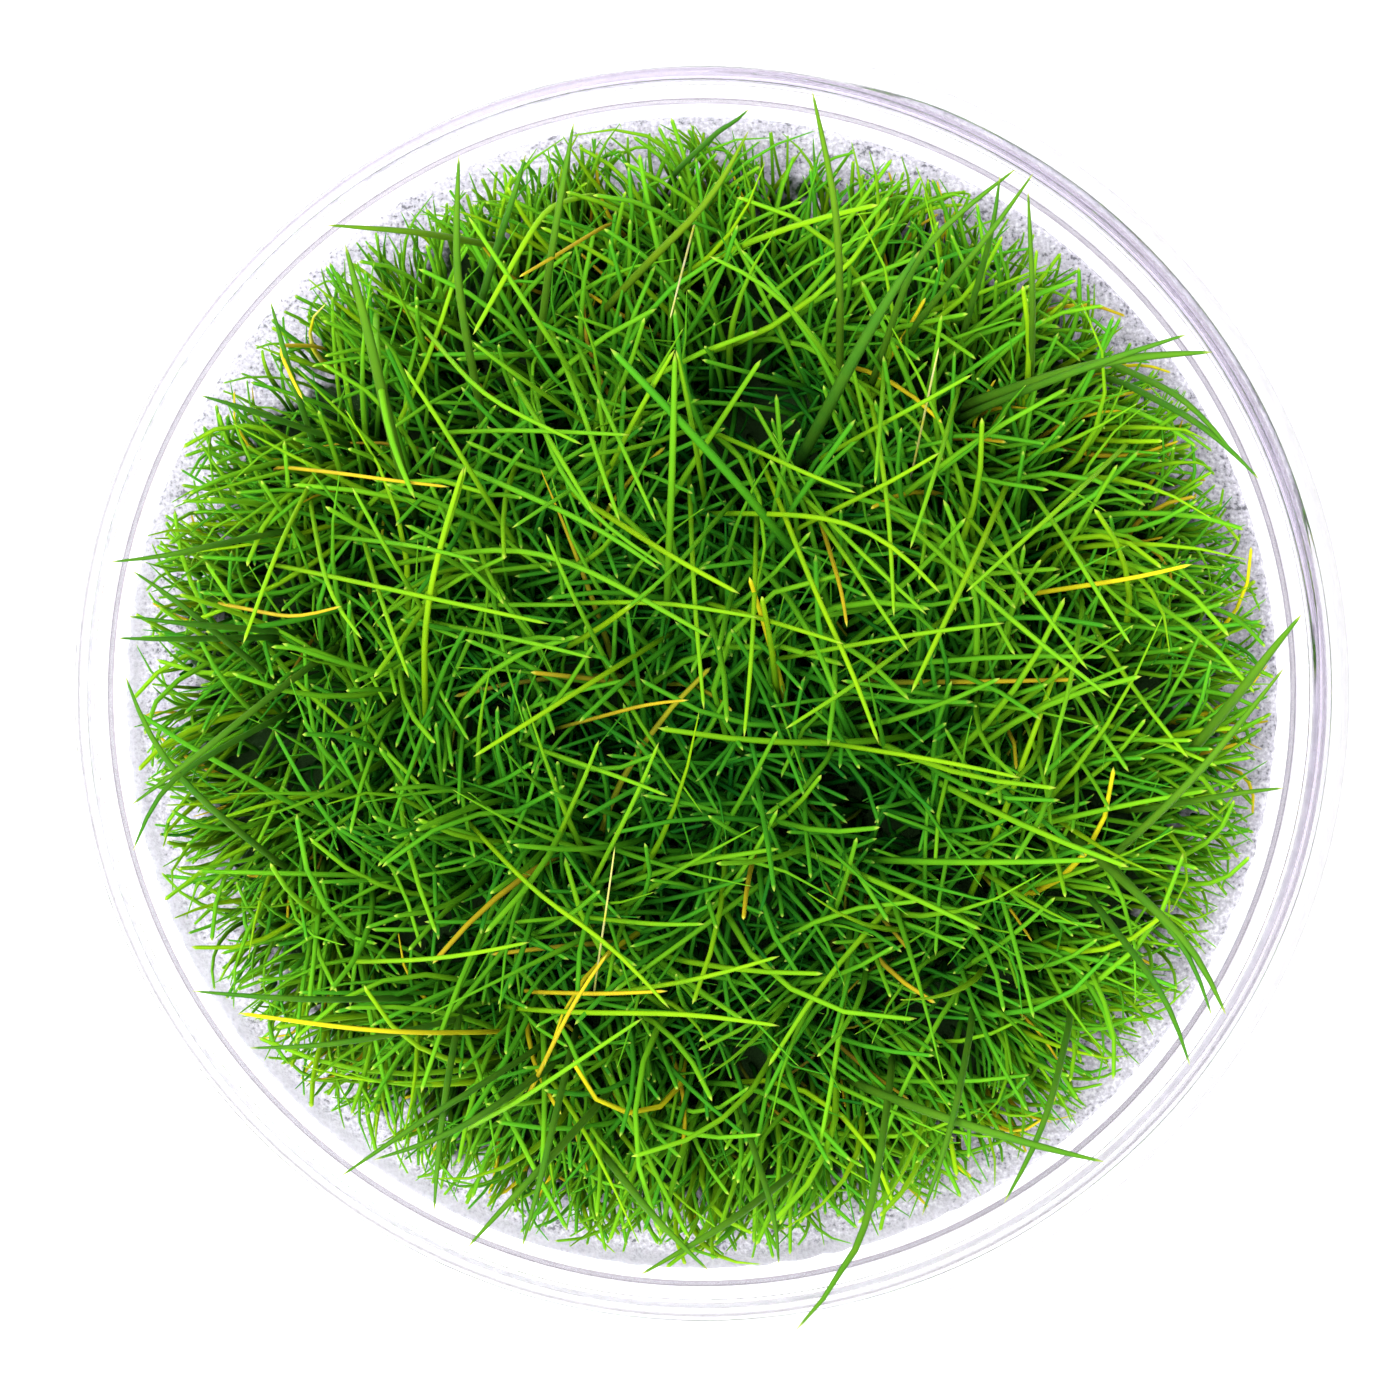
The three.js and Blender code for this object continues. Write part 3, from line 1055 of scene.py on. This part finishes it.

# %% [markdown]
# ## Culms placed one by one
#
# The longest culms lie over the lawn and give it its character, so they are placed one by one.
# Each row is a shade, a width in millimetres, and then x and y of the pixels that the visible part
# passes through, its tip last. The tip is given a height, the visible part sinks away from it, and
# the hidden part runs down to the gel.
#
# There are three sorts: culms that reach over the open edge, culms that lie on top, and old ones
# that have turned yellow or bleached.

# %% Rows for single culms
EDGE_CULMS = (
    (0.7, 0.55, 420, 232, 372, 228, 325, 225),
    (0.6, 0.85, 388, 420, 368, 330, 345, 244),
    (0.45, 0.5, 290, 372, 280, 335, 270, 300),
    (0.45, 0.5, 253, 411, 225, 402, 199, 395),
    (0.6, 0.65, 468, 347, 454, 267, 459, 154),
    (0.6, 0.6, 549, 267, 560, 200, 574, 121),
    (0.45, 0.6, 505, 221, 517, 188, 526, 154),
    (0.85, 0.6, 665, 245, 716, 198, 749, 130),
    (0.4, 0.45, 728, 122, 737, 128, 749, 109),
    (0.7, 0.6, 840, 300, 838, 207, 812, 90),
    (0.55, 0.55, 900, 300, 918, 244, 1017, 168),
    (0.5, 0.5, 990, 240, 998, 208, 1000, 175),
    (0.55, 0.5, 960, 270, 1001, 221, 1034, 172),
    (0.6, 0.5, 1033, 290, 1030, 240, 1028, 189),
    (0.55, 0.8, 1057, 374, 1120, 356, 1213, 352),
    (0.5, 0.6, 1057, 378, 1130, 352, 1188, 334),
    (0.5, 0.55, 1180, 395, 1213, 424, 1235, 455),
    (0.45, 0.55, 1195, 420, 1235, 450, 1260, 480),
    (0.45, 0.95, 842, 381, 880, 310, 920, 250),
    (0.6, 0.8, 1247, 684, 1270, 650, 1302, 614),
    (0.6, 0.6, 1155, 818, 1206, 766, 1284, 668),
    (0.55, 0.5, 1234, 794, 1260, 789, 1284, 788),
    (0.55, 0.7, 1146, 901, 1204, 956, 1226, 1015),
    (0.45, 0.5, 1150, 905, 1200, 962, 1212, 1017),
    (0.45, 0.55, 1150, 975, 1178, 1015, 1190, 1066),
    (0.55, 0.7, 941, 1117, 1055, 1152, 1105, 1162),
    (0.5, 0.55, 1052, 1100, 1033, 1156, 1004, 1203),
    (0.5, 0.55, 958, 1100, 945, 1152, 922, 1216),
    (0.55, 0.6, 881, 1152, 867, 1232, 856, 1262, 826, 1301, 796, 1330),
    (0.5, 0.5, 770, 1200, 780, 1230, 779, 1266),
    (0.55, 0.6, 652, 1215, 680, 1245, 709, 1271),
    (0.55, 0.6, 730, 1222, 708, 1236, 640, 1275),
    (0.5, 0.55, 552, 1130, 537, 1195, 522, 1248),
    (0.55, 0.6, 547, 1162, 510, 1200, 467, 1248),
    (0.5, 0.55, 446, 1090, 437, 1155, 434, 1212),
    (0.5, 0.55, 490, 1110, 444, 1140, 373, 1160),
    (0.5, 0.5, 470, 1092, 419, 1122, 340, 1177),
    (0.5, 0.5, 390, 1035, 317, 1048, 248, 1048),
    (0.45, 0.5, 320, 1000, 266, 998, 192, 991),
    (0.5, 0.5, 200, 548, 155, 560, 109, 562),
    (0.45, 0.5, 195, 616, 168, 592, 131, 570),
    (0.45, 0.5, 200, 625, 160, 622, 127, 616),
    (0.45, 0.5, 181, 639, 150, 640, 116, 638),
    (0.5, 0.55, 215, 812, 164, 764, 135, 715, 125, 675),
    (0.55, 0.55, 265, 700, 212, 744, 160, 785, 130, 806),
    (0.45, 0.5, 200, 760, 153, 788, 133, 851),
)
TOP_CULMS = (
    (0.95, 0.55, 634, 420, 656, 380, 675, 349),
    (0.7, 0.75, 669, 549, 673, 450, 675, 352),
    (0.85, 0.55, 691, 420, 684, 382, 676, 350),
    (0.8, 0.5, 521, 378, 497, 362, 473, 342),
    (0.95, 0.6, 544, 207, 512, 265, 473, 335),
    (0.7, 0.55, 555, 347, 512, 282, 468, 216),
    (0.7, 0.55, 812, 335, 769, 280, 709, 256),
    (0.9, 0.5, 893, 418, 932, 398, 973, 374),
    (1.0, 0.65, 424, 648, 425, 610, 440, 543, 464, 466),
    (0.85, 0.55, 478, 484, 442, 424, 404, 368),
    (0.9, 0.5, 348, 580, 430, 598, 518, 617, 549, 624),
    (0.95, 0.5, 281, 541, 254, 613, 243, 644),
    (0.75, 0.5, 396, 566, 374, 527, 352, 487),
    (0.7, 0.7, 379, 380, 392, 456, 415, 499),
    (0.85, 0.5, 383, 606, 396, 642, 409, 678),
    (0.85, 0.5, 323, 571, 335, 615, 362, 639),
    (1.0, 0.55, 608, 672, 545, 712, 473, 757),
    (1.0, 0.6, 624, 526, 672, 558, 740, 594),
    (0.7, 0.6, 452, 554, 500, 547, 540, 548, 588, 568, 648, 602, 712, 638),
    (0.85, 0.5, 692, 548, 694, 600, 704, 710),
    (0.9, 0.5, 755, 581, 752, 660, 744, 738),
    (0.75, 0.55, 576, 394, 590, 430, 603, 478, 620, 522),
    (0.75, 0.55, 544, 431, 569, 472, 594, 514),
    (0.7, 0.5, 500, 636, 548, 646, 592, 658),
    (0.75, 0.5, 881, 420, 878, 452, 875, 484),
    (0.95, 0.5, 858, 498, 900, 478, 941, 452),
    (0.9, 0.5, 780, 461, 818, 480, 856, 493),
    (0.95, 0.55, 782, 514, 826, 516, 872, 526, 918, 562, 941, 594),
    (1.0, 0.55, 785, 516, 821, 608, 851, 663, 879, 744),
    (0.9, 0.5, 881, 454, 890, 519, 894, 617),
    (0.8, 0.5, 941, 454, 926, 502, 910, 549),
    (0.8, 0.5, 837, 528, 880, 572, 927, 615),
    (0.85, 0.5, 847, 558, 878, 605, 909, 652),
    (0.95, 0.5, 780, 624, 812, 634, 844, 644),
    (0.85, 0.5, 1078, 491, 1022, 542, 966, 592),
    (0.8, 0.5, 1003, 558, 1045, 614, 1088, 670),
    (0.85, 0.5, 897, 654, 842, 694, 785, 729),
    (0.95, 0.6, 982, 544, 945, 622, 911, 693),
    (0.85, 0.5, 842, 647, 925, 632, 1005, 623),
    (0.75, 0.5, 1072, 677, 1060, 726, 1044, 776),
    (0.95, 0.5, 879, 751, 950, 762, 1021, 778),
    (0.75, 0.55, 922, 537, 1010, 620, 1111, 698),
    (0.75, 0.5, 1072, 549, 1100, 598, 1131, 645),
    (0.95, 0.5, 514, 871, 558, 914, 601, 931, 670, 1009),
    (0.9, 0.5, 420, 960, 475, 955, 530, 942),
    (0.95, 0.5, 684, 982, 730, 972, 780, 956),
    (0.95, 0.55, 583, 1013, 695, 1013, 780, 1026),
    (0.8, 0.5, 521, 1100, 580, 1060, 643, 1018),
    (0.85, 0.5, 581, 786, 592, 762, 599, 740),
    (0.8, 0.5, 620, 829, 642, 786, 659, 742),
    (0.75, 0.5, 590, 767, 630, 780, 668, 796),
    (0.8, 0.5, 650, 924, 680, 926, 705, 924),
    (0.8, 0.5, 456, 366, 486, 402, 540, 424, 583, 445),
    (0.7, 0.5, 518, 430, 572, 432, 630, 435),
    (0.55, 0.6, 488, 478, 532, 498, 576, 516, 620, 538, 660, 570),
    (0.65, 0.5, 598, 392, 616, 434, 640, 486, 656, 522),
    (0.4, 0.9, 760, 510, 712, 454, 676, 418, 636, 374, 610, 348),
    (0.6, 0.5, 544, 430, 552, 462, 572, 494, 604, 530, 664, 566),
    (0.6, 0.5, 402, 544, 444, 550, 480, 562),
    (0.7, 0.5, 584, 618, 560, 570, 546, 534),
    (0.6, 0.5, 570, 490, 540, 510, 512, 528),
    (0.85, 0.5, 628, 602, 676, 602, 724, 612, 760, 618),
    (0.6, 0.5, 690, 550, 660, 586, 624, 610),
    (0.9, 0.5, 444, 538, 458, 500, 466, 466),
)
OLD_CULMS = (
    (0.45, 0.45, 275, 345, 288, 372, 303, 400),
    (0.45, 0.4, 545, 262, 532, 270, 519, 277),
    (0.4, 0.4, 348, 474, 400, 482, 450, 487),
    (0.35, 0.4, 287, 617, 302, 620, 342, 606),
    (0.7, 0.5, 419, 1033, 355, 1030, 238, 1013),
    (0.7, 0.5, 1108, 582, 1150, 576, 1193, 564),
    (0.35, 0.4, 636, 707, 662, 700, 689, 700),
    (0.4, 0.45, 840, 585, 846, 606, 847, 627),
    (0.5, 0.45, 558, 1034, 581, 986, 608, 953),
    (0.5, 0.45, 601, 994, 635, 993, 668, 991),
    (1.0, 0.22, 678, 287, 674, 303, 670, 319),
    (1.0, 0.24, 930, 388, 934, 368, 939, 347),
    (1.0, 0.22, 604, 923, 610, 885, 615, 846),
)
print("rows:", len(EDGE_CULMS), "over the edge,", len(TOP_CULMS), "on top,", len(OLD_CULMS), "old")

# %% From pixels to paths
INNER_TIP_Z = 57.6 * MM
OVER_RIM_Z = 58.9 * MM
OVER_RIM_R = 41.2 * MM
SINK_SHARE, LEAST_SINK, MOST_SINK = 0.6, 4 * MM, 14 * MM
SINK_CURVE = 2.2
BACK_SHARE, LONGEST_BACK = 0.3, 7 * MM
KNEE_SHARE = 0.2
EASE_POINTS, EASE_ROUNDS = 41, 14


def relaxed(points):
    """A path with its corners eased out and its two ends kept."""
    points = at_shares(points, np.linspace(0, 1, EASE_POINTS))
    for _ in range(EASE_ROUNDS):
        points[1:-1] = 0.25 * points[:-2] + 0.5 * points[1:-1] + 0.25 * points[2:]
    return points


def at_shares(points, shares):
    """Points at given shares of a path's length."""
    lengths = np.linalg.norm(np.diff(points, axis=0), axis=1)
    run = np.concatenate([[0], np.cumsum(lengths)]) / lengths.sum()
    return np.stack([np.interp(shares, run, points[:, axis]) for axis in range(3)], -1)


def placed(pixels):
    """The path of one culm from the pixels of its visible part, tip last."""
    flat = np.array([at_pixel(px, py, INNER_TIP_Z) for px, py in pixels])
    top = OVER_RIM_Z if away(flat[-1]) > OVER_RIM_R else INNER_TIP_Z
    lengths = np.linalg.norm(np.diff(flat, axis=0), axis=1)
    run = np.concatenate([[0], np.cumsum(lengths)])
    sink = min(max(SINK_SHARE * run[-1], LEAST_SINK), MOST_SINK)
    heights = top - sink * (1 - run / run[-1]) ** SINK_CURVE
    seen = np.array([at_pixel(px, py, z) for (px, py), z in zip(pixels, heights)])
    setback = min(LONGEST_BACK, BACK_SHARE * (seen[0, 2] - GEL_Z))
    foot_xy = seen[0, :2] + unit(seen[0, :2] - seen[1, :2]) * setback
    foot_xy = foot_xy * min(1, LAWN_R / away(foot_xy))
    foot = np.append(foot_xy, FOOT_Z)
    knee_xy = (1 - KNEE_SHARE) * foot_xy + KNEE_SHARE * seen[0, :2]
    knee = np.append(knee_xy, (seen[0, 2] + GEL_Z) / 2)
    return relaxed(np.concatenate([[foot, knee], seen]))


HAND_SHARES = np.concatenate([[0, 0.12, 0.24, 0.35], np.linspace(0.45, 0.985, 13), [1.0]])
hand_rows = EDGE_CULMS + TOP_CULMS + OLD_CULMS
hand_pixels = [np.reshape(row[2:], (-1, 2)) for row in hand_rows]
hand_paths = np.stack([at_shares(placed(pixels), HAND_SHARES) for pixels in hand_pixels])
hand_paths = kept_inside(hand_paths, HAND_EASE)
print("paths of single culms:", len(hand_rows), "of", len(HAND_SHARES), "points")

# %% Widths, shades and kinds of single culms
OLD_KIND, EDGE_KIND = 1.0, 0.3
# The radius as a share of the row's width. A culm on top looks wider than it is, because its
# bright outline counts too, so it is made slimmer.
EDGE_SLIM, TOP_SLIM = 0.49, 0.37
EDGE_FINE, TOP_FINE = 0.7, 0.3
TIP_POWER = 12
SHADE_SCALE = 0.88

over_edge = np.array([row in EDGE_CULMS for row in hand_rows])
aged = np.array([row in OLD_CULMS for row in hand_rows])
hand_kinds = OLD_KIND * aged + EDGE_KIND * over_edge
hand_shades = np.array([row[0] for row in hand_rows]) * SHADE_SCALE
hand_widths = np.array([row[1] for row in hand_rows]) * MM
hand_radii = (hand_widths * np.where(over_edge, EDGE_SLIM, TOP_SLIM))[:, None]
hand_fine = np.where(over_edge, EDGE_FINE, TOP_FINE)[:, None]
hand_radii = hand_radii * (1 - SLENDER * HAND_SHARES - hand_fine * HAND_SHARES**TIP_POWER)
print("single culms, mm thick:", round(2 * hand_radii[:, 0].max() / MM, 2), "at most")

# %% [markdown]
# ## What a culm looks like
#
# All culms share one material. It reads the four numbers on each point: the culm's own shade picks
# a place on a ramp from deep green to lime, daylight darkens and cools the foot of the lawn, and
# the kind picks between three bodies. Most culms are 0, plain green. Those placed over the open
# edge are 0.3, plain green darkened by painted shade, and old ones are 1, straw or bleached. The
# foot is pale where it comes out of the gel, and the very tip is pale too.

# %% Culm colours
GREENS = (
    (0.0, (0.014, 0.140, 0.009)),
    (0.35, (0.046, 0.230, 0.008)),
    (0.7, (0.114, 0.305, 0.006)),
    (1.0, (0.205, 0.368, 0.003)),
)
OLD_TONES = (
    (0.0, (0.13, 0.095, 0.012)),
    (0.4, (0.40, 0.31, 0.010)),
    (0.8, (0.46, 0.46, 0.006)),
    (1.0, (0.44, 0.42, 0.30)),
)
DAYLIGHT_TONES = (
    (0.10, (0.10, 0.33, 0.45)),
    (0.50, (0.42, 0.66, 0.85)),
    (0.75, (0.76, 0.86, 0.97)),
    (0.92, (1, 1, 1)),
)
PALE_ENDS = (
    (0.0, (1, 1, 1)),
    (0.05, (0.6, 0.6, 0.6)),
    (0.16, (0, 0, 0)),
    (0.985, (0, 0, 0)),
    (1.0, (0.9, 0.9, 0.9)),
)
# Painted shade that darkens the culms placed over the open edge.
EDGE_PAINTED_SHADE = (0.62, 0.5, 0.9)
PALE_END = (0.38, 0.44, 0.06)
FLECK_SCALE, FLECK_PART = 380.0, 0.35
print("stops from deep green to lime:", len(GREENS))

# %% Culm material
culm = material("hairgrass_green")
marks = culm.node("Attribute", 0, {"attribute_name": "strand"})
level = Val(culm.tree, marks.socket.node.outputs["Alpha"])
parts = culm.node("SeparateColor", color=marks).socket.node
share_along, own_shade, own_kind = (Val(culm.tree, out) for out in parts.outputs)
fleck = culm.noise(culm.place(), FLECK_SCALE, 3.0)
shade = own_shade + (fleck - 0.5) * FLECK_PART
green = culm.ramp(shade, GREENS)
# Painted shade on the culms over the open edge.
edge_shaded_green = culm.vectors("MULTIPLY", green, EDGE_PAINTED_SHADE)
living = culm.mix(own_kind > EDGE_KIND - 0.1, green, edge_shaded_green)
body = culm.mix(own_kind > OLD_KIND / 2, living, culm.ramp(shade, OLD_TONES))
whole = culm.mix(culm.ramp(share_along, PALE_ENDS), body, rgb(*PALE_END))
open_air = culm.node("Math", 0, {"operation": "MAXIMUM"}, in_0=level, in_1=1.0)
bright = culm.vectors("MULTIPLY", culm.ramp(level, DAYLIGHT_TONES), open_air)
culm.set(
    base_color=culm.vectors("MULTIPLY", whole, bright),
    roughness=0.6,
    specular_ior_level=0.03,
)
print("culm material ready")

# %% Root material
FUZZ_SCALE = 700.0
ROOT_TONES = ((0.3, (0.62, 0.58, 0.42)), (0.7, (0.88, 0.86, 0.76)))

root = material("hairgrass_root")
fuzz = root.noise(root.place(), FUZZ_SCALE)
root.set(base_color=root.ramp(fuzz, ROOT_TONES), roughness=0.6)
print("root material ready")

# %% [markdown]
# ## Plantlets
#
# Each plantlet is one joined mesh: its culms above the gel and its white roots in it. It stands
# for its CAD node.

# %% Root paths
ROOTS_EACH = 12
ROOT_THICKNESS = 0.11 * MM
ROOT_TOP_Z = GEL_Z - 0.5 * MM
SHORT_ROOT, LONG_ROOT = 4 * MM, 15.5 * MM
LEAST_SPREAD, MOST_SPREAD = 1 * MM, 6 * MM
ROOT_REACH = 43 * MM
ROOT_WANDER = 0.35
ROOT_SHARES = np.linspace(0, 1, 7)


def rooted(rng, crown, count):
    """Paths of one plantlet's roots, down and outwards through the gel."""
    heading = rng.uniform(0, 2 * math.pi, count)
    share = ROOT_SHARES
    spread = rng.uniform(LEAST_SPREAD, MOST_SPREAD, count)[:, None] * share**0.8
    wander = np.cumsum(rng.normal(0, ROOT_WANDER, (count, len(share))), axis=1)
    turn = heading[:, None] + wander * 0.5
    x, y = crown[0] + spread * np.cos(turn), crown[1] + spread * np.sin(turn)
    z = ROOT_TOP_Z - rng.uniform(SHORT_ROOT, LONG_ROOT, count)[:, None] * share
    paths = np.stack([x, y, z], -1)
    paths[..., :2] *= np.minimum(1, ROOT_REACH / np.maximum(away(paths), 1e-9))[..., None]
    return paths


print("roots in all:", ROOTS_EACH * len(NAMES))

# %% Build one plantlet


def plantlet_mesh(name, groups):
    """One mesh from groups of (paths, radii, shades, kinds, shares, sides, material index)."""
    points, faces, uvs, marks, slots = [], [], [], [], []
    for paths, radii, shades, kinds, shares, sides, slot in groups:
        first = sum(len(p) for p in points)
        spots, made, uv = skin(paths, radii, shares, sides)
        points.append(spots)
        faces += [[v + first for v in face] for face in made]
        uvs.append(uv)
        marks.append(strand_marks(spots, shades, kinds, shares, sides))
        slots += [slot] * len(made)
    mesh = bpy.data.meshes.new(name)
    mesh.from_pydata(np.concatenate(points).tolist(), [], faces)
    layer = mesh.uv_layers.new(name="OFBake")
    layer.uv.foreach_set("vector", np.concatenate(uvs).astype(np.float32).ravel())
    colours = mesh.attributes.new("strand", "FLOAT_COLOR", "POINT")
    colours.data.foreach_set("color", np.concatenate(marks).astype(np.float32).ravel())
    mesh.polygons.foreach_set("material_index", slots)
    mesh.polygons.foreach_set("use_smooth", [True] * len(faces))
    mesh.update()
    return mesh


print("parts of a plantlet's mesh: scattered, low and single culms, and roots")

# %% [markdown]
# Long culms, whose tips stand near the top, are lighter and short ones below are dark: painted
# light and shade by height. Both are lighter towards the edge, painted light where light comes in
# through the clear wall. A few of each have died and turned yellow. Each culm then goes to the
# plantlet that stands nearest to its foot.

# %% Shades and owners
DARKEST, LIGHTEST = 0.06, 0.88
TALL_PAINTED_LIGHTER, EDGE_PAINTED_LIGHTER, UNEVEN = 0.62, 0.34, 0.13
LOW_LIGHTEST, LOW_EDGE_PAINTED_LIGHTER = 0.35, 0.4
OLD_SHARE, STRONG_OLD_FEWER, LOW_OLD_SHARE = 0.024, 0.02, 0.06

# Painted light: longer culms and culms nearer the edge get a lighter shade.
shades = DARKEST + TALL_PAINTED_LIGHTER * vigour**1.3 + EDGE_PAINTED_LIGHTER * edge**2.5
shades = np.clip(shades + chance.normal(0, UNEVEN, CULMS), 0, LIGHTEST)
is_old = chance.uniform(0, 1, CULMS) < OLD_SHARE - STRONG_OLD_FEWER * vigour
kinds = OLD_KIND * is_old
low_edge = away(low_feet) / LAWN_R
# Painted light: low culms are lighter towards the edge.
low_shades = chance.uniform(0, LOW_LIGHTEST, UNDERGROWTH) + LOW_EDGE_PAINTED_LIGHTER * low_edge**3
low_kinds = OLD_KIND * (chance.uniform(0, 1, UNDERGROWTH) < LOW_OLD_SHARE)
owners = nearest_plantlet(feet)
low_owners = nearest_plantlet(low_feet)
hand_owners = nearest_plantlet(hand_paths[:, 0])
SORTS = (
    (owners, paths, radii, shades, kinds, STEP_SHARES, CULM_SIDES),
    (low_owners, low_paths, low_radii, low_shades, low_kinds, STEP_SHARES, CULM_SIDES),
    (hand_owners, hand_paths, hand_radii, hand_shades, hand_kinds, HAND_SHARES, HAND_SIDES),
)
print("old culms among the scattered ones:", int(kinds.sum() + low_kinds.sum()))

# %% Grow every plantlet


def grow_plantlet(number, name):
    groups = []
    for owner, *strands, shares, sides in SORTS:
        own = owner == number
        if own.any():
            groups.append((*[array[own] for array in strands], shares, sides, 0))
    roots = rooted(np.random.default_rng(number), crowns[number], ROOTS_EACH)
    fine = np.full((ROOTS_EACH, len(ROOT_SHARES)), ROOT_THICKNESS)
    none = np.zeros(ROOTS_EACH)
    groups.append((roots, fine, none, none, ROOT_SHARES, ROOT_SIDES, 1))
    mesh = plantlet_mesh(name, groups)
    mesh.materials.append(culm.material)
    mesh.materials.append(root.material)
    made = bpy.data.objects.new(name, mesh)
    bpy.context.scene.collection.objects.link(made)
    return made


total = 0
for number, name in enumerate(NAMES):
    tuft = grow_plantlet(number, "culms_of_" + name)
    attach(tuft, "root")
    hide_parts(name)
    total += len(tuft.data.polygons)
print("plantlets grown:", len(NAMES), "faces:", total)
